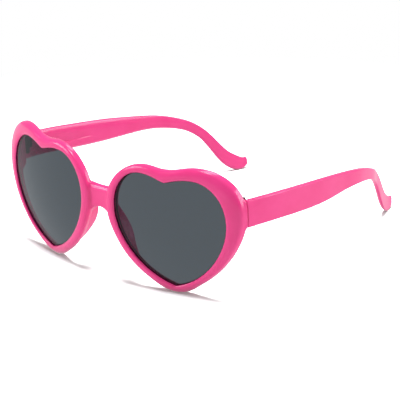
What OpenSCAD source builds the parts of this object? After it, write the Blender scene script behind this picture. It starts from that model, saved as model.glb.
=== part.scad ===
// Heart shaped sunglasses: a moulded front, two tinted lenses and two hinged temples.
// Millimetres. The glasses stand on the two rim points and the two temple feet, and face -Y.
// X runs across the face, +Y back along the temples and +Z up. The left side is at +X, and
// each right piece is its mirror image.

/* [Front] */
// Width of each heart shaped lens opening
lens_w = 57.3; // [51:0.1:62]
// Height of each lens opening, from its point to its lobes
lens_h = 53.8; // [48:0.1:60]
// Gap between the two lens openings, over the nose
nose_gap = 21; // [19:0.1:24]
// How far each heart's point lies outside the middle of its opening
point_lean = 1; // [0:0.1:2]
// Width of the rim at its temple side
side_rim_w = 7.1; // [6.5:0.1:8]
// Width of the rim at its nose side
nose_rim_w = 4.6; // [4.2:0.1:5.2]
// Width of the rim over the heart's notch
notch_rim_w = 6.3; // [5.5:0.1:7.5]
// Width of the rim under the heart's point
point_rim_w = 3.7; // [3.2:0.1:4.5]
// Thickness of the lip behind the lens
back_lip = 1.4; // [1:0.1:1.8]
// Extra depth of the rim at its temple side
side_depth = 1.2; // [0.4:0.1:2]
// How much shallower the rim is low on its nose side
nose_shallow = 0.5; // [0:0.1:0.6]
// How far the rounded face of the rim stands proud of the opening's edge
rim_crown = 1; // [0.5:0.1:1.4]
// Radius of the sphere that the front and the lenses follow
front_curve_r = 112.3; // [100:0.1:130]
// Distance of that sphere's middle from the symmetry plane
front_curve_x = 16; // [12:0.1:20]
// Height of that sphere's middle
front_curve_z = 39.6; // [36:0.1:44]
// Depth of the small flats that the glasses rest on, cut from the round edges
rest_flat = 0.2; // [0.1:0.05:0.4]

/* [Lens] */
// Thickness of the lens
lens_t = 1.5; // [1.2:0.1:1.8]
// Depth of the lens face behind the edge of its opening
lens_recess = 0.5; // [0.3:0.1:0.9]
// Depth of the groove that holds the lens, into the rim
groove_depth = 1; // [0.6:0.1:1.3]
// Clearance of the lens in its groove
lens_gap = 0.05; // [0.03:0.01:0.1]

/* [Bridge and nose pads] */
// Height of the bridge in its middle
bridge_h = 10.6; // [9:0.1:13]
// Height of the bridge's top edge in its middle
bridge_top_z = 45.2; // [43:0.1:48]
// Depth of the bridge from front to back
bridge_depth = 3.8; // [3:0.1:5]
// Step from the rim's face back to the bridge's face
bridge_step = 1.5; // [0.8:0.1:2]
// How far the bridge's face is scooped back in its middle
bridge_scoop = 0.6; // [0:0.1:1]
// How far each nose pad reaches behind the rim
pad_reach = 6.2; // [5:0.1:7.5]
// How far each nose pad spreads away from the nose over its reach
pad_spread = 0.3; // [0:0.1:1]
// Thickness of each nose pad
pad_t = 2.4; // [2:0.1:2.8]

/* [Temples] */
// Thickness of each temple
temple_t = 3; // [2.6:0.1:3.6]
// Thickness of each temple's bent ear end
ear_t = 2.4; // [2.2:0.1:3]
// Height of each temple at its hinge
temple_h = 12.9; // [11.5:0.1:14]
// Height of the temple's middle over the widest part of the heart
hinge_rise = 6.1; // [4:0.1:8]
// How far the upper edge of the temple's outer face leans in at the joint
temple_lean = 1; // [0:0.1:1.8]
// How far the temple's outer face lies outside the rim at the joint
temple_proud = 0; // [-0.4:0.1:0.6]
// How far the joint's face lies behind the back of the rim
joint_reach = 0; // [0:0.1:1]
// Gap of the joint between the front and the temple
joint_gap = 0.3; // [0.2:0.05:0.5]
// Length of each temple from the joint to its bend
arm_len = 98.5; // [90:0.5:110]
// Fall of the temple's middle from the hinge to the bend
arm_fall = 9.4; // [6:0.1:13]
// How far the temple draws in from the hinge to the bend
arm_draw_in = 8; // [4:0.1:12]
// Height of the temple at its bend
bend_h = 5.7; // [4.8:0.1:7]
// Length of the bent ear end, measured along the glasses
ear_len = 40.5; // [34:0.5:44]
// How far the ear end turns inwards
ear_turn_in = 17; // [10:0.5:20]
// Height of the flared foot at the end of the temple
foot_h = 8.6; // [7:0.1:11]

/* [Hinge] */
// Outer diameter of the hinge barrel
barrel_d = 2.5; // [2.2:0.1:2.8]
// Height of the hinge barrel
barrel_h = 8; // [6.5:0.1:9.5]
// How far the barrel rises over the temple's top edge
barrel_rise = -0.6; // [-1:0.1:1]
// Gap between the barrel and the temple's inner face
barrel_gap = 0.5; // [0.4:0.1:0.8]
// Gap between the barrel and the joint's face
barrel_back = 0.8; // [0.4:0.1:1]
// Diameter of the hinge screw's shank
screw_d = 1.2; // [1:0.1:1.4]
// Diameter of the hinge screw's head
head_d = 2; // [1.7:0.1:2.2]
// Height of the hinge screw's head
head_h = 0.5; // [0.3:0.1:0.8]
// Running clearance round the hinge screw
screw_gap = 0.05; // [0.02:0.01:0.08]
// Gap between the hinge's knuckles
knuckle_gap = 0.1; // [0.05:0.05:0.2]
// Thickness of the hinge's plates
plate_t = 0.9; // [0.7:0.1:1.1]
// Length of each hinge plate in the plastic
plate_len = 5; // [4:0.1:6]
// Height of each hinge plate
plate_h = 5; // [4:0.1:6]
// Clearance of a hinge plate in its pocket
plate_gap = 0.04; // [0.02:0.01:0.06]

/* [Hidden] */

plastic = [1, 0.31, 0.59];
tint = [0.3, 0.32, 0.35];
steel = [0.35, 0.35, 0.37];

// How far a cut runs past the face that it opens in
overrun = 1;
// Facets of the barrels and the screws, and of the rounded plastic
round_fn = 48;
soft_fn = 12;
// Steps between two points of a table
steps = 4;

// One half of the heart at even steps along it, notch to point: shares of lens_w and lens_h
heart_shares = [
    [0, 0.943], [0.148, 0.99], [0.3, 0.982], [0.424, 0.888], [0.49, 0.74], [0.496, 0.577],
    [0.452, 0.42], [0.373, 0.278], [0.268, 0.158], [0.142, 0.063], [0, 0],
];
// Width of the rim at the same places, between the notch and the point
side_rim_shares = [0.78, 0.87, 1.05, 1.03, 0.83, 0.67, 0.55, 0.48, 0.46];
nose_rim_shares = [0.95, 0.78, 0.84, 1.08, 1.12, 1, 0.99, 0.96, 0.92];
side_rim_widths = concat(notch_rim_w, side_rim_shares * side_rim_w, point_rim_w);
nose_rim_widths = concat(notch_rim_w, nose_rim_shares * nose_rim_w, point_rim_w);
// Share of the temple side's extra depth that the rim has at the same places
side_depth_shares = [0, 0.1, 0.3, 0.75, 1, 0.75, 0.4, 0.15, 0, 0, 0];
// Share of the nose side's lost depth at the same places
nose_shallow_shares = [0, 0, 0, 0, 0, 0.2, 0.7, 1, 1, 0.7, 0];
// How far the outer edge is rounded off towards the back at the same places: 0 is a plain edge
// and 1 is rounded over the whole depth
side_round_shares = [0, 0, 0, 0, 0, 0, 0, 0, 0.1, 0.5, 1];
nose_round_shares = [0, 0, 0, 0, 0.1, 0.5, 1, 1, 1, 1, 1];
full_round_share = 0.7;
// The widest part of the heart, and its half width there
widest_share = 0.62;
half_width_share = 0.497;

half_stations = (len(heart_shares) - 1) * steps;
stations = 2 * half_stations;
// Stations on each side that the direction across the rim is taken over
chord = 3;
// Stations over which the rim's outer edge rounds off the notch and the point, and by how much
rounding = 4;
notch_round = notch_rim_w * 0.09;
point_round = point_rim_w * 0.18;

// Radii of the rim's edges
opening_edge_r = lens_recess / 2;
front_edge_r = 1.2;
back_edge_r = 1.6;
// Radius of the temple's outer edges, and the bevels along its inner face
edge_r = 0.7;
top_bevel = 0.8;
foot_bevel = 1.3;

heart_x = nose_gap / 2 + lens_w / 2;
heart_z = point_rim_w - rest_flat;
rim_depth = lens_recess + lens_t + back_lip;

// A number or a point, share t of the way from a to b
function mix(a, b, t) = a + (b - a) * t;
function unit(v) = v / norm(v);

// Smooth curve through the values in list p: t is 0 at the first and len(p) - 1 at the last
function curve_at(p, t) =
    let (
        n = len(p) - 1,
        i = min(floor(t), n - 1),
        f = t - i,
        b = p[i],
        c = p[i + 1],
        a = i > 0 ? p[i - 1] : 3 * p[0] - 3 * p[1] + p[2],
        d = i < n - 1 ? p[i + 2] : 3 * p[n] - 3 * p[n - 1] + p[n - 2]
    )
    b + (c - a) * f / 2
    + (2 * a - 5 * b + 4 * c - d) * f * f / 2
    + (3 * b - a - 3 * c + d) * f * f * f / 2;

// How far back the front's sphere lies at a place on the front
function sphere_y(x, z) =
    front_curve_r - sqrt(
        front_curve_r * front_curve_r
        - (x - front_curve_x) * (x - front_curve_x)
        - (z - front_curve_z) * (z - front_curve_z)
    );

// Stations run round the heart from the notch, down the temple side to the point, and back up
// the nose side. half_at says how far station k is along its half, from the notch to the point.
function wrapped(k) = (k + stations) % stations;
function half_at(k) = (k <= half_stations ? k : stations - k) / steps;
function side_of(k) = k <= half_stations ? 1 : -1;

function opening_at(k) =
    let (
        s = curve_at(heart_shares, half_at(k)),
        lean = point_lean * (1 - s[1]) * (1 - s[1])
    )
    [heart_x + side_of(k) * s[0] * lens_w + lean, heart_z + s[1] * lens_h];

// A bump over the stations beside a corner, which is nothing at the corner itself
function beside(u) = u < rounding ? sin(180 * u / rounding) : 0;

function rim_w_at(k) =
    curve_at(side_of(k) > 0 ? side_rim_widths : nose_rim_widths, half_at(k))
    - notch_round * beside(min(k, stations - k))
    + point_round * beside(abs(k - half_stations));

function rim_depth_at(k) =
    rim_depth + (
        side_of(k) > 0
            ? side_depth * curve_at(side_depth_shares, half_at(k))
            : -nose_shallow * curve_at(nose_shallow_shares, half_at(k))
    );

function rim_round_at(k) =
    curve_at(side_of(k) > 0 ? side_round_shares : nose_round_shares, half_at(k));

// Unit vector across the rim at station k, out of the opening
function across_at(k) =
    let (c = opening_at(wrapped(k + chord)) - opening_at(wrapped(k - chord)))
    unit([-c[1], c[0]]);

// The point that is s across the rim from the opening's edge and d behind the sphere
function rim_point(k, s, d) =
    let (p = opening_at(k) + across_at(k) * s)
    [p[0], sphere_y(p[0], p[1]) + d, p[1]];

// The rim's section, as places across it and behind the sphere: from the opening's front edge
// over the rounded face to the back, then up the opening's wall and round the lens's groove
function rim_section(w, depth, rounded) =
    let (
        e = opening_edge_r,
        front = front_edge_r,
        back = min(back_edge_r, w / 2, depth / 2),
        back_w = mix(back, w * full_round_share, rounded),
        back_d = mix(back, depth - front, rounded),
        groove_front = lens_recess - lens_gap,
        groove_back = lens_recess + lens_t + lens_gap,
        shoulder = rim_crown * 0.7
    )
    [
        [0, e],
        [e * 0.3, -rim_crown * 0.1],
        [w * 0.22, -shoulder],
        [w * 0.5, -rim_crown],
        for (a = [90, 60, 30, 0]) [w - front + front * cos(a), front - (front + shoulder) * sin(a)],
        for (a = [0, 30, 60, 90]) [w - back_w + back_w * cos(a), depth - back_d + back_d * sin(a)],
        [e, depth],
        [0, depth - e],
        [0, groove_back],
        [groove_depth, groove_back],
        [groove_depth, groove_front],
        [0, groove_front],
    ];

// Outermost part of the front, and the joint behind it
side_x = heart_x + half_width_share * lens_w + side_rim_w;
temple_z = heart_z + widest_share * lens_h + hinge_rise;
joint_y = sphere_y(side_x, temple_z) + rim_depth + side_depth - back_edge_r / 2 + joint_reach;
temple_x = side_x + temple_proud - temple_t / 2;

// The hinge pin's axis, and the barrel's height
pin_x = temple_x - temple_t / 2 - barrel_gap - barrel_d / 2;
pin_y = joint_y + barrel_back + barrel_d / 2;
barrel_z = temple_z + temple_h / 2 + barrel_rise - barrel_h / 2;
knuckle_h = (barrel_h - 2 * knuckle_gap) / 3;

// The temple's middle line. Shares of the arm's length, draw in and fall, and of its slimming
// from the hinge to the bend; then of the ear end's length, turn in and drop, and of the foot
arm_shares = [
    [0, 0, 0, 0], [0.2, -0.09, 0.15, 0.05], [0.4, 0.05, 0.37, 0.08],
    [0.6, 0.27, 0.56, 0.25], [0.8, 0.62, 0.73, 0.67], [1, 1, 1, 1],
];
ear_shares = [
    [0.235, 0.37, 0.13, 0.31], [0.44, 0.47, 0.365, 0.3], [0.65, 0.69, 0.725, 0.37],
    [0.79, 0.86, 0.91, 0.44], [0.9, 0.94, 0.99, 0.41], [1, 0.97, 0.965, 0.18],
];
foot_z = foot_h * 0.36;
bend = [temple_x - arm_draw_in, joint_y + arm_len, temple_z - arm_fall];
// Middle and half height of the temple at each place in the tables
temple_nodes = concat(
    [
        for (s = arm_shares) [
            temple_x - s[1] * arm_draw_in,
            joint_y + s[0] * arm_len,
            temple_z - s[2] * arm_fall,
            mix(temple_h, bend_h, s[3]) / 2,
        ],
    ],
    [
        for (s = ear_shares) [
            bend[0] - s[1] * ear_turn_in,
            bend[1] + s[0] * ear_len,
            bend[2] - s[2] * (bend[2] - foot_z),
            s[3] * foot_h,
        ],
    ]
);
temple_stations = (len(temple_nodes) - 1) * steps;
bend_at = len(arm_shares) - 1;

// Middle of the glasses from front to back, where the origin lies
front_y = sphere_y(nose_gap / 2 - nose_rim_w / 2, front_curve_z) - rim_crown;
back_y = max([
    for (i = [temple_stations - steps:temple_stations])
        for (p = temple_slice(i))
            p[1],
]);
middle_y = (front_y + back_y) / 2;

// Triangles between two rows of m points that start at a and at b
function strip(a, b, m) = [
    for (j = [0:m - 1])
        let (next = (j + 1) % m)
        each [[a + j, a + next, b + next], [a + j, b + next, b + j]],
];

// A closed ring of sections
module ring(sections) {
    n = len(sections);
    m = len(sections[0]);
    polyhedron(
        [for (section = sections) each section],
        [for (i = [0:n - 1]) each strip(i * m, ((i + 1) % n) * m, m)]
    );
}

// A bar through sections from its first to its last, closed at both ends
module bar(sections) {
    n = len(sections);
    m = len(sections[0]);
    last = (n - 1) * m;
    polyhedron(
        [for (section = sections) each section],
        [
            for (i = [0:n - 2]) each strip(i * m, (i + 1) * m, m),
            for (j = [1:m - 2]) [0, j + 1, j],
            for (j = [1:m - 2]) [last, last + j, last + j + 1],
        ]
    );
}

// A box from its lowest corner to its highest
module box_between(low, high) {
    translate(low)
    cube(high - low);
}

// A piece drawn from the front backwards, put where the glasses stand round the origin
module placed() {
    translate([0, -middle_y, 0])
    children();
}

module right_placed() {
    placed()
    mirror([1, 0, 0])
    children();
}

module rim() {
    ring([
        for (k = [0:stations - 1])
            [
                for (q = rim_section(rim_w_at(k), rim_depth_at(k), rim_round_at(k)))
                    rim_point(k, q[0], q[1]),
            ],
    ]);
}

// A thin slice of the bridge at a place across it: u runs from -1 at one rim to 1 at the other.
// The face lies back from the rims by a share of the step, and sweeps forwards to meet them.
bridge_reach = nose_gap / 2 - nose_rim_w / 2;
bridge_edge_r = 0.9;
bridge_shares = [
    [-1, 0.15], [-0.85, 0.15], [-0.68, 0.15], [-0.42, 1], [-0.2, 1], [0, 1],
    [0.2, 1], [0.42, 1], [0.68, 0.15], [0.85, 0.15], [1, 0.15],
];
bridge_rise = bridge_h * 0.04;
bridge_arch = bridge_h * 0.46;

module bridge_slice(u, share) {
    level = sphere_y(bridge_reach, front_curve_z) - rim_crown;
    face = level + bridge_step * share + bridge_scoop * (1 - u * u);
    rear = level + bridge_step + bridge_scoop * (1 - u * u) + bridge_depth;
    top = bridge_top_z + bridge_rise * u * u;
    foot = bridge_top_z - bridge_h - bridge_arch * u * u;
    for (y = [face + bridge_edge_r, rear - bridge_edge_r])
        for (z = [foot + bridge_edge_r, top - bridge_edge_r])
            translate([u * bridge_reach, y, z])
            rotate([0, 90, 0])
            cylinder(r = bridge_edge_r, h = bridge_edge_r / 10, center = true, $fn = soft_fn);
}

module bridge() {
    for (i = [0:len(bridge_shares) - 2])
        hull() {
            bridge_slice(bridge_shares[i][0], bridge_shares[i][1]);
            bridge_slice(bridge_shares[i + 1][0], bridge_shares[i + 1][1]);
        }
}

// A nose pad is a fin behind the nose side of the rim: places along that half of the heart, as
// steps of its table, and the share of the pad's reach there
pad_shares = [
    [4.6, 0.25], [4.9, 0.52], [5.2, 0.77], [5.6, 0.94], [6.1, 1], [6.5, 0.8], [7, 0.48],
    [7.4, 0.15],
];

module pad_rib(place, reach) {
    k = stations - place * steps;
    across = rim_w_at(k) - pad_t * 0.8;
    for (share = [0, reach])
        translate(rim_point(
            k,
            across - pad_spread * share,
            rim_depth_at(k) + pad_reach * share - pad_t / 2
        ))
        sphere(d = pad_t, $fn = soft_fn);
}

module nose_pad() {
    for (i = [0:len(pad_shares) - 2])
        hull() {
            pad_rib(pad_shares[i][0], pad_shares[i][1]);
            pad_rib(pad_shares[i + 1][0], pad_shares[i + 1][1]);
        }
}

// The end piece carries the side of the rim back to the joint. Its first slice lies in the rim,
// between two places of the heart's table, and its last is the face that meets the temple.
end_shares = [3.1, 3.6, 4.2, 4.8, 5.3];
end_skin = 0.3;
end_inner_x = pin_x - plate_t / 2 - plate_t;
slice_t = 0.05;

module end_piece() {
    slice_y = sphere_y(side_x, temple_z) + end_skin;
    rim_edge = [
        for (t = end_shares)
            let (k = t * steps)
            opening_at(k) + across_at(k) * (rim_w_at(k) - end_skin),
    ];
    hull() {
        translate([0, slice_y, 0])
        rotate([90, 0, 0])
        linear_extrude(slice_t)
        polygon(concat(
            [[end_inner_x, rim_edge[len(rim_edge) - 1][1]], [end_inner_x, rim_edge[0][1]]],
            rim_edge
        ));
        translate([0, joint_y, 0])
        rotate([90, 0, 0])
        linear_extrude(slice_t)
        hull() {
            polygon([for (p = temple_slice(0)) [p[0], p[2]]]);
            translate([end_inner_x, temple_z - temple_h / 2])
            square([plate_t, temple_h]);
        }
    }
}

// The plate of the front's hinge leaf, drawn larger by a gap to cut its pocket
module front_plate(gap, back) {
    box_between(
        [pin_x - plate_t / 2 - gap, joint_y - plate_len - gap, barrel_z - barrel_h / 2 + knuckle_gap - gap],
        [pin_x + plate_t / 2 + gap, joint_y + back, temple_z + temple_h / 2 - plate_t + gap]
    );
}

module front_half() {
    rim();
    nose_pad();
    end_piece();
}

module front_frame() {
    color(plastic)
    placed()
    difference() {
        union() {
            front_half();
            mirror([1, 0, 0]) front_half();
            bridge();
        }
        front_plate(plate_gap, overrun);
        mirror([1, 0, 0]) front_plate(plate_gap, overrun);
        translate([-2 * side_x, -joint_y, -2 * overrun])
        cube([4 * side_x, 4 * joint_y, 2 * overrun]);
    }
}

module lens() {
    outline = [
        for (k = [0:stations - 1]) opening_at(k) + across_at(k) * (groove_depth - lens_gap),
    ];
    color(tint)
    difference() {
        intersection() {
            translate([0, 2 * joint_y, 0])
            rotate([90, 0, 0])
            linear_extrude(4 * joint_y)
            polygon(outline);
            translate([front_curve_x, front_curve_r + lens_recess, front_curve_z])
            sphere(front_curve_r, $fn = 4 * round_fn);
        }
        translate([front_curve_x, front_curve_r + lens_recess + lens_t, front_curve_z])
        sphere(front_curve_r, $fn = 4 * round_fn);
    }
}

// The temple's section: places across its thickness, outwards, and up its height. The outer
// edges are rounded, and the inner face is bevelled, most along its lower edge.

function temple_section(half_h, thick, lean) =
    let (
        a = thick / 2,
        b = a - lean,
        r = min(edge_r, half_h / 2),
        top = min(top_bevel, half_h / 2),
        foot = min(foot_bevel, half_h / 2)
    )
    [
        [a, half_h * 0.4],
        [b, half_h - r],
        [b - r * 0.3, half_h - r * 0.3],
        [b - r, half_h],
        [-a + top, half_h],
        [-a + top * 0.35, half_h - top * 0.35],
        [-a, half_h - top],
        [-a, -half_h + foot],
        [-a + foot * 0.35, -half_h + foot * 0.35],
        [-a + foot, -half_h],
        [a - r, -half_h],
        [a - r * 0.3, -half_h + r * 0.3],
        [a, -half_h + r],
    ];

// A point as its first three values
function place(p) = [p[0], p[1], p[2]];

// Section i of the temple, square to its middle line, but upright at the end of the foot. The
// first is drawn along that line onto the joint's face.
function temple_slice(i) =
    let (
        t = i / steps,
        nudge = 0.05,
        here = curve_at(temple_nodes, t),
        before = curve_at(temple_nodes, max(t - nudge, 0)),
        after = curve_at(temple_nodes, min(t + nudge, len(temple_nodes) - 1)),
        line = place(after) - place(before),
        upright = max(t - (len(temple_nodes) - 2), 0),
        along = unit([line[0], line[1], line[2] * (1 - upright)]),
        out = unit([along[1], -along[0], 0]),
        up = cross(out, along),
        thick = mix(temple_t, ear_t, min(max((t - bend_at) / 2, 0), 1)),
        lean = temple_lean * max(1 - 2 * t, 0),
        face_y = joint_y + joint_gap
    )
    [
        for (q = temple_section(here[3], thick, lean))
            let (p = place(here) + out * q[0] + up * q[1])
            i > 0 ? p : p + along * (face_y - p[1]) / along[1],
    ];

// The plate and the neck of the temple's hinge leaf, drawn larger by a gap to cut their pocket
plate_sink = plate_t * 0.8;
module temple_plate(gap, front) {
    inner_x = temple_x - temple_t / 2;
    box_between(
        [inner_x + plate_sink - plate_t - front, pin_y - plate_t / 2 - gap, barrel_z - plate_h / 2 - gap],
        [inner_x + plate_sink + gap, pin_y + plate_len + gap, barrel_z + plate_h / 2 + gap]
    );
}

module temple() {
    color(plastic)
    difference() {
        bar([for (i = [0:temple_stations]) temple_slice(i)]);
        temple_plate(plate_gap, overrun);
        translate([0, joint_y, -2 * overrun])
        cube([2 * side_x, 2 * arm_len, 2 * overrun]);
    }
}

// Knuckle i of the barrel, counted from the lowest
module knuckle(i) {
    translate([pin_x, pin_y, barrel_z - barrel_h / 2 + i * (knuckle_h + knuckle_gap)])
    cylinder(d = barrel_d, h = knuckle_h, $fn = round_fn);
}

module screw_bore() {
    translate([pin_x, pin_y, barrel_z - barrel_h / 2 - overrun])
    cylinder(r = screw_d / 2 + screw_gap, h = barrel_h + 2 * overrun, $fn = round_fn);
}

module front_hinge() {
    color(steel)
    difference() {
        union() {
            difference() {
                front_plate(0, pin_y - joint_y);
                box_between(
                    [pin_x - barrel_d, joint_y, barrel_z - knuckle_h / 2 - knuckle_gap],
                    [pin_x + barrel_d, pin_y + barrel_d, barrel_z + knuckle_h / 2 + knuckle_gap]
                );
            }
            knuckle(0);
            knuckle(2);
        }
        screw_bore();
    }
}

module temple_hinge() {
    color(steel)
    difference() {
        union() {
            temple_plate(0, 0);
            knuckle(1);
            box_between(
                [pin_x, pin_y - plate_t / 2, barrel_z - knuckle_h / 2],
                [temple_x - temple_t / 2 + plate_sink, pin_y + plate_t / 2, barrel_z + knuckle_h / 2]
            );
        }
        screw_bore();
    }
}

module hinge_screw() {
    top = barrel_z + barrel_h / 2;
    color(steel)
    difference() {
        union() {
            translate([pin_x, pin_y, top - barrel_h])
            cylinder(d = screw_d, h = barrel_h + head_h / 2, $fn = round_fn);
            translate([pin_x, pin_y, top])
            cylinder(d = head_d, h = head_h, $fn = round_fn);
        }
        // The slot of the head
        box_between(
            [pin_x - head_d, pin_y - head_d / 10, top + head_h / 2],
            [pin_x + head_d, pin_y + head_d / 10, top + head_h + overrun]
        );
    }
}

front_frame();
placed() lens();  // lens_left
right_placed() lens();  // lens_right
placed() temple();  // temple_left
right_placed() temple();  // temple_right
placed() front_hinge();  // front_hinge_left
right_placed() front_hinge();  // front_hinge_right
placed() temple_hinge();  // temple_hinge_left
right_placed() temple_hinge();  // temple_hinge_right
placed() hinge_screw();  // hinge_screw_left
right_placed() hinge_screw();  // hinge_screw_right
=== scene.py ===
"""Looks of the heart shaped sunglasses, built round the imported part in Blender."""

import math

import bmesh
import bpy
import numpy as np
from mathutils import Matrix, Vector


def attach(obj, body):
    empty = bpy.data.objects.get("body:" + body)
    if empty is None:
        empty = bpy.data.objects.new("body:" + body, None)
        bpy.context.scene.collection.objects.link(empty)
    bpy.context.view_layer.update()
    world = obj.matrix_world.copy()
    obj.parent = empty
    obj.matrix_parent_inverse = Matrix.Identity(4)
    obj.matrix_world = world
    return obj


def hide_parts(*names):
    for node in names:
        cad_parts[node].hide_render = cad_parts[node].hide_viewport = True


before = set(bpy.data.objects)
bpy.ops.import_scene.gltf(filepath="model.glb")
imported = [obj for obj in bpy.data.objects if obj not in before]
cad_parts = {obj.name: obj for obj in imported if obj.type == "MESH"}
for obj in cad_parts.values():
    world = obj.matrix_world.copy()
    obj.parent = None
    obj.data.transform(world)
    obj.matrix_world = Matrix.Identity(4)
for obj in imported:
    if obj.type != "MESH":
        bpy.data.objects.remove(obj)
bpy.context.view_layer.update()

# The front is one shot of glossy pink plastic: two heart shaped rims that follow a sphere, the
# scooped bridge between them, a pad for the nose behind each rim, and the end piece that carries
# each corner back to its temple. Its surfaces are worked out in millimetres.

LENS_WIDTH = 57.3
LENS_HEIGHT = 53.8
LENS_RECESS = 0.5
LENS_THICK = 1.5
LENS_CLEAR = 0.05
GROOVE = 1
NOSE_GAP = 21
POINT_LEAN = 1
RIM_DEPTH = 3.4
RIM_CROWN = 1
SIDE_DEPTH = 1.2
SPHERE_RADIUS = 112.3
SPHERE_X = 16
SPHERE_Z = 39.6
FRONT_AT = -79.372
HEART_X = NOSE_GAP / 2 + LENS_WIDTH / 2
HEART_Z = 3.5

HEART_SHARES = np.array([
    (0, 0.943), (0.148, 0.99), (0.3, 0.982), (0.424, 0.888), (0.49, 0.74), (0.496, 0.577),
    (0.452, 0.42), (0.373, 0.278), (0.268, 0.158), (0.142, 0.063), (0, 0),
])
SIDE_RIM_WIDTHS = np.array([6.3, 5.5, 6.2, 7.5, 7.3, 5.9, 4.75, 3.9, 3.4, 3.3, 3.7])
NOSE_RIM_WIDTHS = np.array([6.3, 4.4, 3.6, 3.9, 5, 5.2, 4.6, 4.55, 4.4, 4.2, 3.7])
SIDE_DEPTH_SHARES = np.array([0, 0.1, 0.3, 0.75, 1, 0.75, 0.4, 0.15, 0, 0, 0])
NOSE_SHALLOW = np.array([0, 0, 0, 0, 0, 0.1, 0.35, 0.5, 0.5, 0.35, 0])
SIDE_ROUND_SHARES = np.array([0, 0, 0, 0, 0, 0, 0, 0, 0.1, 0.5, 1])
NOSE_ROUND_SHARES = np.array([0, 0, 0, 0, 0.1, 0.5, 1, 1, 1, 1, 1])
HALF = len(HEART_SHARES) - 1
STEPS = 24
CHORD = 0.75
NOTCH_LIFT = 0.4
NOTCH_REACH = 0.35
CORNER_REACH = 1.5
NOTCH_TRIM = 0.57
POINT_FILL = 0.67
FACE_EDGE = 1
BACK_EDGE = 1.6
EDGE_LEFT = 1.05
LOW_ROUND_SHARE = 0.7


def smooth_curve(values, t):
    """A cubic spline through evenly spaced values. Its second slopes m solve, at each inner value,
    m before + 4 m + m after = 6 times the second difference, and stay level over each end step."""
    values = np.asarray(values, float)
    n = len(values) - 1
    rows = 4 * np.eye(n + 1) + np.eye(n + 1, k=1) + np.eye(n + 1, k=-1)
    rows[0] = 0
    rows[0, :2] = 1, -1
    rows[n] = 0
    rows[n, n - 1:] = -1, 1
    bends = np.zeros_like(values)
    bends[1:-1] = 6 * (values[2:] - 2 * values[1:-1] + values[:-2])
    slopes = np.linalg.solve(rows, bends)
    i = np.clip(np.floor(t).astype(int), 0, n - 1)
    f = t - i
    if values.ndim > 1:
        f = f[..., None]
    g = 1 - f
    return (
        values[i] * g + values[i + 1] * f
        + (g**3 - g) * slopes[i] / 6 + (f**3 - f) * slopes[i + 1] / 6
    )


def notch_lift(half):
    """How far the notch's tip is rounded off: NOTCH_LIFT times (1 - v)^2, where v is the distance
    from the notch over NOTCH_REACH, both in steps."""
    return NOTCH_LIFT * np.maximum(1 - half / NOTCH_REACH, 0) ** 2


def opening(t):
    """Edge of the left lens's opening: t runs from the notch down the temple side to the point at
    HALF, and back up the nose side to the notch at twice HALF."""
    t = np.mod(t, 2 * HALF)
    side = np.where(t <= HALF, 1, -1)
    half = np.minimum(t, 2 * HALF - t)
    share = smooth_curve(HEART_SHARES, half)
    lean = POINT_LEAN * (1 - share[..., 1]) ** 2
    return np.stack([
        HEART_X + side * share[..., 0] * LENS_WIDTH + lean,
        HEART_Z + share[..., 1] * LENS_HEIGHT + notch_lift(half),
    ], -1)


def across_rim(t):
    """Unit vector out of the opening, square to a chord over CHORD steps each way."""
    chord = opening(t + CHORD) - opening(t - CHORD)
    out = np.stack([-chord[..., 1], chord[..., 0]], -1)
    return out / np.linalg.norm(out, axis=-1, keepdims=True)


def flare(x, z):
    """How far back the sphere that the front follows lies at a place: its foremost point plus its
    radius, less the root of the radius squared less the squared distance from its middle."""
    square = SPHERE_RADIUS ** 2 - (x - SPHERE_X) ** 2 - (z - SPHERE_Z) ** 2
    return FRONT_AT + SPHERE_RADIUS - np.sqrt(square)


def on_rim(t, s, d):
    """The point s across the rim from the opening's edge and d behind the sphere."""
    at = opening(t) + across_rim(t) * s[..., None]
    return np.stack([at[..., 0], flare(at[..., 0], at[..., 1]) + d, at[..., 1]], -1)


def beside(u):
    """A bump beside a corner, 6.75 v (1 - v)^2, where v is 1 at CORNER_REACH steps from it."""
    v = np.clip(u / CORNER_REACH, 0, 1)
    return 6.75 * v * (1 - v) ** 2


def rim_width(t):
    """Splines through the widths of the two sides, trimmed by a bump beside the notch and filled
    by one beside the point, less what the notch's tip is rounded off by."""
    half = np.minimum(t, 2 * HALF - t)
    width = np.where(
        t <= HALF, smooth_curve(SIDE_RIM_WIDTHS, half), smooth_curve(NOSE_RIM_WIDTHS, half)
    )
    return (
        width - NOTCH_TRIM * beside(half) + POINT_FILL * beside(HALF - half) - notch_lift(half)
    )


def rim_depth(t):
    """The rim's depth: RIM_DEPTH plus a spline through the shares of SIDE_DEPTH on the temple side,
    and less a spline through how much shallower it gets on the nose side."""
    half = np.minimum(t, 2 * HALF - t)
    return RIM_DEPTH + np.where(
        t <= HALF,
        SIDE_DEPTH * smooth_curve(SIDE_DEPTH_SHARES, half), -smooth_curve(NOSE_SHALLOW, half),
    )


def rim_round(t):
    """How much the outer edge is rounded towards the back: a spline through each side's shares. At
    1 it takes all of the depth but EDGE_LEFT, and LOW_ROUND_SHARE of the width."""
    half = np.minimum(t, 2 * HALF - t)
    return np.clip(np.where(
        t <= HALF, smooth_curve(SIDE_ROUND_SHARES, half), smooth_curve(NOSE_ROUND_SHARES, half)
    ), 0, 1)


def rounded(before, corner, after, m):
    """A corner rounded in m points by (1 - q)^2 before + 2 q (1 - q) corner + q^2 after."""
    q = np.linspace(0, 1, m)[:, None]
    before, corner, after = (np.asarray(p, float)[..., None, :] for p in (before, corner, after))
    return (1 - q) ** 2 * before + 2 * q * (1 - q) * corner + q**2 * after


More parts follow.
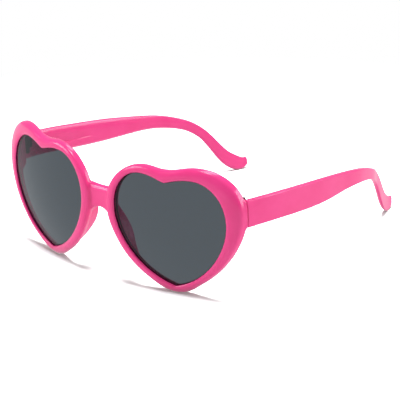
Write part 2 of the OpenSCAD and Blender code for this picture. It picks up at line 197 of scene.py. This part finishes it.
def softened(corners, radii, m):
    """A closed outline with each corner rounded over its radius before it and after it."""
    corners = np.asarray(corners, float)
    back = np.roll(corners, 1, -2) - corners
    ahead = np.roll(corners, -1, -2) - corners
    back /= np.linalg.norm(back, axis=-1, keepdims=True)
    ahead /= np.linalg.norm(ahead, axis=-1, keepdims=True)
    r = np.asarray(radii, float)[..., None]
    bends = rounded(corners + back * r, corners, corners + ahead * r, m)
    return bends.reshape(*bends.shape[:-3], -1, 2)


def grid_faces(rows, columns, ring):
    """Quads of a grid whose columns close on themselves, and its rows too for a ring."""
    i, j = np.meshgrid(np.arange(rows if ring else rows - 1), np.arange(columns), indexing="ij")
    a, b = i * columns, (i + 1) % rows * columns
    k = (j + 1) % columns
    return np.stack([a + j, b + j, b + k, a + k], -1).reshape(-1, 4)


def set_outwards(mesh):
    """Turns the faces of a closed mesh outwards."""
    work = bmesh.new()
    work.from_mesh(mesh)
    bmesh.ops.recalc_face_normals(work, faces=work.faces)
    work.to_mesh(mesh)
    work.free()


def surface(name, grids):
    """One object from grids of points in millimetres, each (points, is it a ring). A grid that is
    no ring is closed by a fan to the middle of its first and its last row."""
    points, faces, start = [], [], 0
    for grid, ring in grids:
        rows, columns = grid.shape[:2]
        points.append(grid.reshape(-1, 3))
        faces += (grid_faces(rows, columns, ring) + start).tolist()
        first, last = start, start + (rows - 1) * columns
        start += rows * columns
        if not ring:
            j = np.arange(columns)
            k = (j + 1) % columns
            points.append(np.stack([grid[0].mean(0), grid[-1].mean(0)]))
            faces += np.stack([first + k, np.full_like(j, start), first + j], -1).tolist()
            faces += np.stack([last + j, np.full_like(j, start + 1), last + k], -1).tolist()
            start += 2
    mesh = bpy.data.meshes.new(name)
    mesh.from_pydata((np.concatenate(points) / 1000).tolist(), [], faces)
    piece = bpy.data.objects.new(name, mesh)
    bpy.context.scene.collection.objects.link(piece)
    set_outwards(mesh)
    mesh.polygons.foreach_set("use_smooth", np.ones(len(mesh.polygons), bool))
    return piece


def mirrored(grid):
    """The grid's mirror image across the middle of the glasses: its x changes sign."""
    return grid * np.array([-1, 1, 1])


def rim():
    """The rim's section carried round the opening: a crowned face, a tight outer edge, a back that
    is rounded most low on the nose side, and the opening's wall, from the back to the face, with
    the lens's groove in it. The crown is RIM_CROWN times 1 - |2 u - 1|^3, with u from 0 at the
    opening to 1 at the outer edge."""
    t = np.arange(2 * HALF * STEPS) / STEPS
    w = rim_width(t)[:, None]
    depth = rim_depth(t)[:, None]
    one = np.ones_like(w)
    u = np.linspace(0.04, 0.84, 16)[None]
    crown = np.stack([u * w, -RIM_CROWN * (1 - np.abs(2 * u - 1) ** 3) * one], -1)
    edge = crown[:, -1]
    lead = np.concatenate([w, edge[:, 1:] + (w - edge[:, :1]) * 0.3], -1)
    front = rounded(edge, lead, np.concatenate([w, FACE_EDGE * one], -1), 8)[:, 1:]
    r = np.minimum(BACK_EDGE, np.minimum(w, depth) / 2)
    share = rim_round(t)[:, None]
    inwards = r + (LOW_ROUND_SHARE * w - r) * share
    up = r + (depth - EDGE_LEFT - r) * share
    back = rounded(
        np.concatenate([w, depth - up], -1),
        np.concatenate([w - 0.06 * inwards * share, depth - 0.1 * up * share], -1),
        np.concatenate([w - inwards, depth], -1), 10,
    )
    seat, rear = LENS_RECESS - LENS_CLEAR, LENS_RECESS + LENS_THICK + LENS_CLEAR
    wall = np.stack(np.broadcast_arrays(
        np.array([0.5, 0.12, 0, 0, GROOVE, GROOVE, 0, 0, 0.06])[None] * one,
        np.concatenate([
            depth, depth - 0.1, depth - 0.5, one * rear, one * rear, one * seat, one * seat,
            one * 0.25, one * 0.08,
        ], -1),
    ), -1)
    section = np.concatenate([crown, front, back, wall], 1)
    return on_rim(t[:, None] * np.ones(section.shape[1]), section[..., 0], section[..., 1])


BRIDGE_TOP = 45.2
BRIDGE_HEIGHT = 10.6
BRIDGE_STEP = 1.6
BRIDGE_SCOOP = 0.6
BRIDGE_BACK = 5.6
BRIDGE_SHORT = 2.3
TOP_RISE = 0.42
FOOT_FALL = 4.9


def bridge():
    """A rounded block from rim to rim, with u a little past -1 and 1 at its ends. Its face lies a
    step back from the rims and is scooped by 1 - u^2, so that each rim's edge stands proud of it.
    Towards the rims its top rises and its foot falls with u^2."""
    u = np.linspace(-1.05, 1.05, 61)
    reach = NOSE_GAP / 2 - BRIDGE_SHORT
    level = flare(reach, SPHERE_Z) - RIM_CROWN
    face = level + BRIDGE_STEP + BRIDGE_SCOOP * (1 - u * u)
    back = np.full_like(u, level + BRIDGE_BACK)
    top = BRIDGE_TOP + TOP_RISE * u * u
    foot = BRIDGE_TOP - BRIDGE_HEIGHT - FOOT_FALL * u * u
    corners = np.stack([
        np.stack([face, foot], -1), np.stack([face, top - 2], -1), np.stack([face + 1.1, top], -1),
        np.stack([back, top], -1), np.stack([back, foot], -1),
    ], 1)
    section = softened(corners, [1.2, 1.1, 1, 1.2, 1.2], 8)
    x = (u * reach)[:, None] * np.ones(section.shape[1])
    return np.stack([x, section[..., 0], section[..., 1]], -1)


PAD_THICK = 2.4
PAD_REACH = 6.2
PAD_LEAN = 0.3
PAD_SUNK = 1.2
PAD_START = 4.3
PAD_STEP = 0.4
PAD_SHARES = np.array([0, 0.35, 0.7, 0.92, 1, 0.93, 0.7, 0.44, 0.22, 0.08])


def nose_pad():
    """A fin behind the nose side of the rim, as a flat loop with a round edge at each place along
    it. A spline through its shares says how far it reaches back and leans away from the nose, and
    it thins to half at both ends by the sixth power of the distance from its middle."""
    last = len(PAD_SHARES) - 1
    place = np.linspace(0, last, 73)
    t = 2 * HALF - (PAD_START + PAD_STEP * place)
    share = np.maximum(smooth_curve(PAD_SHARES, place), 0)[:, None]
    middle = last / 2
    half = PAD_THICK / 2 * (1 - 0.5 * (np.abs(place - middle) / middle) ** 6)[:, None]
    a = np.linspace(-math.pi / 2, math.pi / 2, 15)[None]
    tip = np.stack([np.sin(a) * half, (np.cos(a) - 1) * half])
    root = np.stack(np.broadcast_arrays(np.sin(a[:, ::-1]) * half, -PAD_THICK / 4))
    s = np.concatenate([-PAD_LEAN * share + tip[0], root[0]], 1)
    d = np.concatenate([PAD_REACH * share + tip[1], -PAD_SUNK + root[1]], 1)
    base = (rim_width(t) - PAD_THICK * 0.8)[:, None]
    return on_rim(t[:, None] * np.ones(s.shape[1]), base + s, rim_depth(t)[:, None] + d)


SIDE_RIM = 7.1
HINGE_RISE = 6.1
HALF_WIDTH_SHARE = 0.497
WIDEST_SHARE = 0.62
JOINT_AHEAD = 0.8
JOINT_HALF = 6.45
END_FROM = 3.1
END_TO = 5.3
END_X = 68.6
SIDE_X = HEART_X + HALF_WIDTH_SHARE * LENS_WIDTH + SIDE_RIM
JOINT_Z = HEART_Z + WIDEST_SHARE * LENS_HEIGHT + HINGE_RISE
JOINT_Y = flare(SIDE_X, JOINT_Z) + RIM_DEPTH + SIDE_DEPTH - JOINT_AHEAD


def end_piece():
    """Straight lines from a loop in the rim, along its outer edge, to the joint's flat face. That
    face's outer side leans in near its top, and both corners of that side are rounded."""
    t = np.linspace(END_FROM, END_TO, 33)
    edge = on_rim(t, rim_width(t) - 0.35, np.full_like(t, 0.3))
    top, foot = JOINT_Z + JOINT_HALF, JOINT_Z - JOINT_HALF
    high = rounded((SIDE_X - 2.2, top), (SIDE_X - 1, top), (SIDE_X - 0.7, top - 1), 9)
    low = rounded((SIDE_X, foot + 0.8), (SIDE_X, foot), (SIDE_X - 0.8, foot), 9)
    side = np.stack([
        np.interp(np.arange(1, 16), [0, 6, 16], [high[-1, 0], SIDE_X, SIDE_X]),
        np.linspace(high[-1, 1], low[0, 1], 17)[1:-1],
    ], -1)
    outer = np.concatenate([high, side, low])
    joint = np.stack([outer[:, 0], np.full(len(outer), JOINT_Y), outer[:, 1]], -1)
    inner = np.linspace(0, 1, 9)[:, None]
    loops = []
    for loop in (edge, joint):
        turn = np.array([(END_X, loop[-1, 1], loop[-1, 2]), (END_X, loop[0, 1], loop[0, 2])])
        loops.append(np.concatenate([loop, turn[0] + (turn[1] - turn[0]) * inner]))
    v = np.linspace(0, 1, 12)[:, None, None]
    return loops[0] * (1 - v) + loops[1] * v


rims = rim()
pads = nose_pad()
ends = end_piece()
front = surface("front_moulding", [
    (rims, True), (mirrored(rims), True), (bridge(), False), (pads, False), (mirrored(pads), False),
    (ends, False), (mirrored(ends), False),
])

VOXEL = 0.00034


def apply_modifiers(piece):
    """Puts the mesh that the piece's modifiers give in the place of its own."""
    shown = piece.evaluated_get(bpy.context.evaluated_depsgraph_get())
    mesh = bpy.data.meshes.new_from_object(shown)
    piece.modifiers.clear()
    old = piece.data
    piece.data = mesh
    bpy.data.meshes.remove(old)
    mesh.name = piece.name


fuse = front.modifiers.new("fuse", "REMESH")
fuse.mode = "VOXEL"
fuse.voxel_size = VOXEL
fuse.use_smooth_shade = True
soften = front.modifiers.new("soften", "SMOOTH")
soften.factor = 0.5
soften.iterations = 6
apply_modifiers(front)


def stand_flat(piece):
    """Vertices below the ground are brought up to it, which leaves the small flats it rests on."""
    places = np.empty(len(piece.data.vertices) * 3, np.float32)
    piece.data.vertices.foreach_get("co", places)
    places = places.reshape(-1, 3)
    places[:, 2] = np.maximum(places[:, 2], 0)
    piece.data.vertices.foreach_set("co", places.ravel())
    piece.data.update()


stand_flat(front)


def new_material(name):
    """A material of one Principled shader, with its nodes, its links and that shader."""
    material = bpy.data.materials.new(name)
    material.use_nodes = True
    nodes = material.node_tree.nodes
    nodes.clear()
    shader = nodes.new("ShaderNodeBsdfPrincipled")
    out = nodes.new("ShaderNodeOutputMaterial")
    material.node_tree.links.new(shader.outputs[0], out.inputs["Surface"])
    return material, nodes, material.node_tree.links, shader


def set_values(node, **values):
    """Sets a node's inputs by name, with an underscore for each space."""
    for name, value in values.items():
        node.inputs[name.replace("_", " ")].default_value = value


def noise(nodes, links, scale, detail, rough=0.5):
    """Noise over Object coordinates, with scale in features per metre."""
    place = nodes.new("ShaderNodeTexCoord")
    node = nodes.new("ShaderNodeTexNoise")
    set_values(node, Scale=scale, Detail=detail, Roughness=rough)
    links.new(place.outputs["Object"], node.inputs["Vector"])
    return node.outputs["Fac"]


def spread(nodes, links, source, low, high, start=0.3, end=0.7):
    """The source between start and end, spread from low to high."""
    node = nodes.new("ShaderNodeMapRange")
    links.new(source, node.inputs["Value"])
    set_values(node, From_Min=start, From_Max=end, To_Min=low, To_Max=high)
    return node.outputs[0]


# Glossy dyed plastic: faint flow clouding in the pink, a polished skin with slight waves from the
# mould, and fine handling marks that only change how sharp its reflections are.

PINK_DEEP = (0.93, 0.045, 0.257, 1)
PINK_LIGHT = (0.98, 0.056, 0.292, 1)

pink, nodes, links, shader = new_material("pink_plastic")
ramp = nodes.new("ShaderNodeValToRGB")
ramp.color_ramp.elements[0].position = 0.3
ramp.color_ramp.elements[0].color = PINK_DEEP
ramp.color_ramp.elements[1].position = 0.7
ramp.color_ramp.elements[1].color = PINK_LIGHT
links.new(noise(nodes, links, 70, 3), ramp.inputs[0])
links.new(ramp.outputs["Color"], shader.inputs["Base Color"])
marks = spread(nodes, links, noise(nodes, links, 900, 4), 0.16, 0.24)
links.new(marks, shader.inputs["Roughness"])
bump = nodes.new("ShaderNodeBump")
set_values(bump, Strength=0.12, Distance=0.00005)
links.new(noise(nodes, links, 260, 2), bump.inputs["Height"])
links.new(bump.outputs[0], shader.inputs["Normal"])
set_values(shader, IOR=1.49, Specular_IOR_Level=0.4, Coat_Weight=0.15, Coat_Roughness=0.06)
front.data.materials.clear()
front.data.materials.append(pink)
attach(front, "front")
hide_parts("front_frame")

# Each lens is a thin shell of grey dyed plastic, polished on both faces, cut to the heart a little
# larger than the opening and snapped into the rim's groove. A ring round its edge carries painted
# shade: it lets less through and is tinted maroon, for the shaded groove and pink rim behind it.

SMOKE = (0.001, 0.004, 0.008, 1)
# The maroon is the colour of the painted shade in the ring round each lens's edge
MAROON_GROOVE_SHADE = (0.03, 0.0005, 0.006, 1)
TINT = (0.862, 0.928, 0.98, 1)
SEEN_THROUGH = 0.33
SHADE_RING_SEEN_THROUGH = 0.18
MIDDLE_SHARE = 0.55
FACE_RINGS = 36
# How far inside the opening's edge the painted shade ring starts on the front and rear faces, and
# over how much it fades in
FACE_SHADE_RING = 0.35
REAR_SHADE_RING = 0.5
SHADE_RING_FADE = 0.3


def lens_shell():
    """Rings from the middle of the heart out to just inside the opening, then square to its edge
    into the groove, over the front face and back over the rear, each on the front's sphere. With
    them goes how far each ring is part of the painted shade round the lens's edge, from 0 to 1."""
    t = np.arange(2 * HALF * STEPS) / STEPS
    middle = np.array([HEART_X, HEART_Z + MIDDLE_SHARE * LENS_HEIGHT])
    out = np.array([-0.95, -0.8, -0.65, -0.5, -0.35, -0.2, 0.1, GROOVE - 0.13, GROOVE - 0.1])
    r = np.concatenate([np.linspace(0.02, 0.99, FACE_RINGS), np.ones(len(out))])
    out = np.concatenate([np.full(FACE_RINGS, out[0]), out])
    edge = opening(t) + across_rim(t) * out[:, None, None]
    at = middle + (edge - middle) * r[:, None, None]
    at = np.concatenate([at, at[::-1]])
    n = len(out)
    d = LENS_RECESS + LENS_THICK * np.concatenate([np.zeros(n - 1), [0.08, 0.92], np.ones(n - 1)])
    y = flare(at[..., 0], at[..., 1]) + d[:, None]
    dark = np.clip(np.concatenate([
        (out + FACE_SHADE_RING) / SHADE_RING_FADE, (out[::-1] + REAR_SHADE_RING) / SHADE_RING_FADE,
    ]), 0, 1)
    return np.stack([at[..., 0], y, at[..., 1]], -1), dark


def mixed(nodes, links, share, first, second):
    """A mix of two shaders, from all of the first at 0 to all of the second at 1."""
    node = nodes.new("ShaderNodeMixShader")
    for place, source in enumerate((share, first, second)):
        links.new(source, node.inputs[place])
    return node.outputs[0]


smoke, nodes, links, shader = new_material("smoke_tint")
set_values(shader, IOR=1.5, Specular_IOR_Level=0.17)
polish = spread(nodes, links, noise(nodes, links, 400, 3), 0.02, 0.05)
links.new(polish, shader.inputs["Roughness"])
clear = nodes.new("ShaderNodeBsdfTransparent")
clear.inputs["Color"].default_value = TINT
# This attribute marks the ring of painted groove shade, where less is seen through the lens
edge = nodes.new("ShaderNodeAttribute")
edge.attribute_name = "painted_groove_shade"
share = spread(nodes, links, edge.outputs["Fac"], SEEN_THROUGH, SHADE_RING_SEEN_THROUGH, 0, 1)
through = mixed(nodes, links, share, shader.outputs[0], clear.outputs[0])
# Inputs 6 and 7 of a Mix node are its two colours, and output 2 is their mix
# Painted shade: the maroon stands for the shaded pink rim and groove seen in the lens's edge
groove_shade_mix = nodes.new("ShaderNodeMix")
groove_shade_mix.data_type = "RGBA"
groove_shade_mix.inputs[6].default_value = SMOKE
groove_shade_mix.inputs[7].default_value = MAROON_GROOVE_SHADE
links.new(edge.outputs["Fac"], groove_shade_mix.inputs[0])
links.new(groove_shade_mix.outputs[2], shader.inputs["Base Color"])
links.new(through, nodes["Material Output"].inputs["Surface"])

shell, dark = lens_shell()
for name, grid in (("lens_left", shell), ("lens_right", mirrored(shell))):
    lens = surface(name + "_shell", [(grid, False)])
    painted_groove_shade = lens.data.attributes.new("painted_groove_shade", "FLOAT", "POINT")
    painted_groove_shade.data.foreach_set("value", np.append(np.repeat(dark, grid.shape[1]), [0, 0]))
    lens.data.materials.append(smoke)
    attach(lens, "front")
    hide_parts(name)

# Each temple is one pink moulding. It runs back from the joint, slims to the bend and curls down
# and inwards to a flared foot. Its outer edges are rounded, and its inner face is slightly convex,
# with a ledge low down near the joint.

TEMPLE_THICK = 3
EAR_THINNER = 0.6
TOP_BEVEL = 1.8
FOOT_BEVEL = 1.3
LEDGE = 0.5
LEDGE_END = 2.7
LEDGE_FADE = 1.2
JOINT_GAP = 0.3
TEMPLE_X = SIDE_X - TEMPLE_THICK / 2
ARM_DRAW_IN = 8
ARM_LENGTH = 98.5
ARM_FALL = 9.4
EAR_TURN_IN = 17
EAR_LENGTH = 40.5
FOOT_HEIGHT = 8.6
FOOT_MIDDLE_SHARE = 0.36
BEND_HALF = 2.85
# Shares along, in, down and slimmer for the arm, and along, in, down and half height for the ear
ARM_SHARES = np.array([
    (0, 0, 0, 0), (0.2, -0.09, 0.15, 0.05), (0.4, 0.05, 0.37, 0.08), (0.6, 0.27, 0.56, 0.25),
    (0.8, 0.62, 0.73, 0.67), (1, 1, 1, 1),
])
EAR_SHARES = np.array([
    (0.235, 0.27, 0.13, 0.31), (0.44, 0.49, 0.365, 0.3), (0.65, 0.7, 0.725, 0.37),
    (0.79, 0.84, 0.91, 0.44), (0.91, 0.945, 0.99, 0.41), (1.02, 1.02, 0.965, 0.22),
])
EASE = 1.1
EASE_MIDDLE = 5.4
EASE_REACH = 1.7
CUT_REACH = 0.3
TIP_ROUND = 0.985


def temple_line():
    """Middle and half height of the temple at its tables' places: x, y, z, half height."""
    along, draw, fall, slim = ARM_SHARES.T
    arm = np.stack([
        TEMPLE_X - draw * ARM_DRAW_IN, JOINT_Y + along * ARM_LENGTH, JOINT_Z - fall * ARM_FALL,
        JOINT_HALF + (BEND_HALF - JOINT_HALF) * slim,
    ], -1)
    along, turn, drop, flared = EAR_SHARES.T
    bend = arm[-1]
    ear = np.stack([
        bend[0] - turn * EAR_TURN_IN, bend[1] + along * EAR_LENGTH,
        bend[2] - drop * (bend[2] - FOOT_MIDDLE_SHARE * FOOT_HEIGHT), flared * FOOT_HEIGHT,
    ], -1)
    return np.concatenate([arm, ear])


def eased(line, t):
    """The line's spline at t, as the mean of nine places up to EASE steps each way. That reach
    falls to nothing as 1 - v^2, where v is 1 at EASE_REACH steps from the bend's middle."""
    reach = EASE * np.maximum(1 - ((t - EASE_MIDDLE) / EASE_REACH) ** 2, 0)
    return np.mean([smooth_curve(line, t + k * reach) for k in np.linspace(-1, 1, 9)], 0)


def temple_sweep():
    """The temple's section carried along its middle line, square to it but upright at its end. The
    first lies in the joint's face, and the last ones close over the tip as a half round. Low on
    the inner face runs a ledge, which fades out halfway to the bend as 3 f^2 - 2 f^3."""
    line = temple_line()
    last = len(line) - 1
    t = np.concatenate([
        np.linspace(0, 1, 12) ** 2 * CUT_REACH, np.arange(0.35, last - 0.3, 0.04),
        np.linspace(last - 0.3, last - 0.2, 4),
    ])
    here = eased(line, t)
    ahead = (eased(line, np.minimum(t + 0.05, last)) - eased(line, np.maximum(t - 0.05, 0)))[:, :3]
    ahead[:, 2] *= 1 - np.clip(t - last + 1, 0, 1)
    along = ahead / np.linalg.norm(ahead, axis=1, keepdims=True)
    out = np.stack([along[:, 1], -along[:, 0], 0 * t], -1)
    out /= np.linalg.norm(out, axis=1, keepdims=True)
    up = np.cross(out, along)
    half = here[:, 3]
    a = (TEMPLE_THICK - EAR_THINNER * np.clip((t - 5) / 2, 0, 1)) / 2
    b = a - np.clip(1 - 2 * t, 0, 1)
    top = np.minimum(TOP_BEVEL, half / 3)
    foot = np.minimum(FOOT_BEVEL, half / 3)
    fade = np.clip((LEDGE_END - t) / LEDGE_FADE, 0, 1)
    ledge = LEDGE * fade * fade * (3 - 2 * fade)
    level = half * (-0.46 + 0.1 * np.minimum(t, LEDGE_END))
    corners = np.stack([np.stack(corner, -1) for corner in (
        (a, half * 0.4), (b, half), (-a + top * 0.3, half), (-a + 0.15, half - top * 0.7),
        (-a, half * 0.3), (-a + ledge, level + 0.2), (-a, level - 0.2),
        (-a + 0.2 * ledge, -half + foot), (-a + foot, -half), (a, -half),
    )], 1)
    reach = np.minimum(1, half / 3)[:, None] * [0.8, 0.6, 0.2, 0, 0, 0.08, 0.12, 0.3, 0.3, 0.6]
    section = softened(corners, reach + half[:, None] * [0, 0, 0, 0.1, 0.2, 0, 0, 0, 0, 0], 7)
    grid = (
        here[:, None, :3] + out[:, None] * section[..., :1] + up[:, None] * section[..., 1:]
    )
    slide = (JOINT_Y + JOINT_GAP - grid[0, :, 1:2]) / along[0, 1]
    share = np.clip(1 - t / CUT_REACH, 0, 1)[:, None, None] ** 2
    grid = grid + along[:, None] * slide[None] * share
    q = np.sin(np.linspace(0, math.pi / 2, 9))[1:, None, None]
    tip = smooth_curve(line, np.array([last], float))[0, :3] - here[-1, :3]
    keep = np.sqrt(1 - (q * TIP_ROUND) ** 2)
    cap = here[-1, :3] + (grid[-1] - here[-1, :3]) * keep + tip * q
    return np.concatenate([grid, cap])


sweep = temple_sweep()
for side, grid in (("left", sweep), ("right", mirrored(sweep))):
    arm = surface("temple_" + side + "_moulding", [(grid, False)])
    stand_flat(arm)
    arm.data.materials.append(pink)
    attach(arm, side + "_arm")
    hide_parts("temple_" + side)

# Each hinge is stamped steel, nearly black: a leaf with two knuckles moulded into the front, one
# with a single knuckle in the temple, and the screw that is their pin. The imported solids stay.

STEEL_DARK = (0.03, 0.018, 0.022, 1)
STEEL_LIGHT = (0.08, 0.055, 0.065, 1)

steel, nodes, links, shader = new_material("dark_steel")
set_values(shader, Metallic=1.0)
ramp = nodes.new("ShaderNodeValToRGB")
ramp.color_ramp.elements[0].color = STEEL_DARK
ramp.color_ramp.elements[1].color = STEEL_LIGHT
links.new(noise(nodes, links, 1500, 4), ramp.inputs[0])
links.new(ramp.outputs["Color"], shader.inputs["Base Color"])
grain = spread(nodes, links, noise(nodes, links, 4000, 3), 0.25, 0.45)
links.new(grain, shader.inputs["Roughness"])

for name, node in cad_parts.items():
    if "hinge" in name:
        for slot in node.material_slots:
            slot.material = steel

# The glasses stand on a white sweep under soft studio lamps. The floor and the room are plain
# white to the camera, and the floor darkens only close under what stands on it.

CAMERA_AT = Vector((0.65876, -0.72781, 0.377))
AZIMUTH, ELEVATION, ROLL = (math.radians(a) for a in (42.5045, 20.1962, -1.36705))

camera = bpy.data.cameras.new("camera")
camera.lens = 191.65
camera.clip_end = 20
seen_by = bpy.data.objects.new("camera", camera)
bpy.context.scene.collection.objects.link(seen_by)
bpy.context.scene.camera = seen_by
turned = (
    Matrix.Rotation(AZIMUTH, 4, "Z") @ Matrix.Rotation(math.pi / 2 - ELEVATION, 4, "X")
    @ Matrix.Rotation(ROLL, 4, "Z")
)
seen_by.matrix_world = Matrix.Translation(CAMERA_AT) @ turned

bpy.ops.mesh.primitive_plane_add(size=6)
floor = bpy.context.object
floor.name = "floor"

ROOM_BOUNCE = (0.21, 0.21, 0.21, 1)
SHADED = (0.5, 0.5, 0.5, 1)
SHADOW_LIFT = 0.1
SHADOW_NEAR = 0.13
SHADOW_FAR = 0.3
ROOM_LIGHT = 0.45


def added(nodes, links, first, second):
    """The sum of two values, held between 0 and 1."""
    node = nodes.new("ShaderNodeMath")
    node.use_clamp = True
    links.new(first, node.inputs[0])
    links.new(second, node.inputs[1])
    return node.outputs[0]


# The floor takes shadows only near the glasses, and only straight to the camera. Away from them,
# through a lens and in reflections it is plain white. For the light that it throws on the glasses
# it counts as a dull grey, so that it doesn't wash out the pink.
paper = bpy.data.materials.new("white_sweep")
paper.use_nodes = True
nodes, links = paper.node_tree.nodes, paper.node_tree.links
nodes.clear()
plain = nodes.new("ShaderNodeBsdfDiffuse")
plain.inputs["Color"].default_value = ROOM_BOUNCE
shaded = nodes.new("ShaderNodeBsdfDiffuse")
shaded.inputs["Color"].default_value = SHADED
lift = nodes.new("ShaderNodeEmission")
lift.inputs["Strength"].default_value = SHADOW_LIFT
lifted = nodes.new("ShaderNodeAddShader")
links.new(shaded.outputs[0], lifted.inputs[0])
links.new(lift.outputs[0], lifted.inputs[1])
glow = nodes.new("ShaderNodeEmission")
place = nodes.new("ShaderNodeTexCoord")
away = nodes.new("ShaderNodeVectorMath")
away.operation = "LENGTH"
links.new(place.outputs["Object"], away.inputs[0])
path = nodes.new("ShaderNodeLightPath")
white = spread(nodes, links, away.outputs["Value"], 0, 1, SHADOW_NEAR, SHADOW_FAR)
white = added(nodes, links, white, path.outputs["Transparent Depth"])
white = added(nodes, links, white, path.outputs["Is Glossy Ray"])
shown = mixed(nodes, links, white, lifted.outputs[0], glow.outputs[0])
looks = path.outputs["Is Camera Ray"]
for name in ("Is Glossy Ray", "Is Transmission Ray"):
    looks = added(nodes, links, looks, path.outputs[name])
whole = mixed(nodes, links, looks, plain.outputs[0], shown)
links.new(whole, nodes.new("ShaderNodeOutputMaterial").inputs["Surface"])
floor.data.materials.append(paper)

room = bpy.data.worlds.new("room")
bpy.context.scene.world = room
room.use_nodes = True
nodes, links = room.node_tree.nodes, room.node_tree.links
nodes.clear()
soft = nodes.new("ShaderNodeBackground")
soft.inputs["Strength"].default_value = ROOM_LIGHT
sky = nodes.new("ShaderNodeBackground")
sky.inputs["Color"].default_value = (1, 1, 1, 1)
looks = nodes.new("ShaderNodeLightPath").outputs["Is Camera Ray"]
whole = mixed(nodes, links, looks, soft.outputs[0], sky.outputs[0])
links.new(whole, nodes.new("ShaderNodeOutputWorld").inputs["Surface"])


def lamp(name, place, size, power, aim=(0, -0.03, 0.03)):
    """A square soft box of a side in metres and a power in watts, turned to face its aim."""
    light = bpy.data.lights.new(name, "AREA")
    light.size = size
    light.energy = power
    item = bpy.data.objects.new(name, light)
    bpy.context.scene.collection.objects.link(item)
    item.location = place
    item.rotation_euler = (Vector(aim) - Vector(place)).to_track_quat("-Z", "Y").to_euler()
    return item


lamp("over", (0, -0.06, 1.1), 0.25, 7)
ground = bpy.data.collections.new("ground")
ground.objects.link(floor)
flood = lamp("flood", (0, -0.04, 1.1), 0.45, 50)
flood.light_linking.receiver_collection = ground
lamp("left", (-0.95, -0.95, 0.6), 0.7, 9.5)
lamp("right", (0.8, 0.75, 0.35), 0.6, 6)
lamp("rear", (-0.3, 0.7, 0.9), 0.35, 2)

bpy.context.scene.view_settings.view_transform = "Standard"
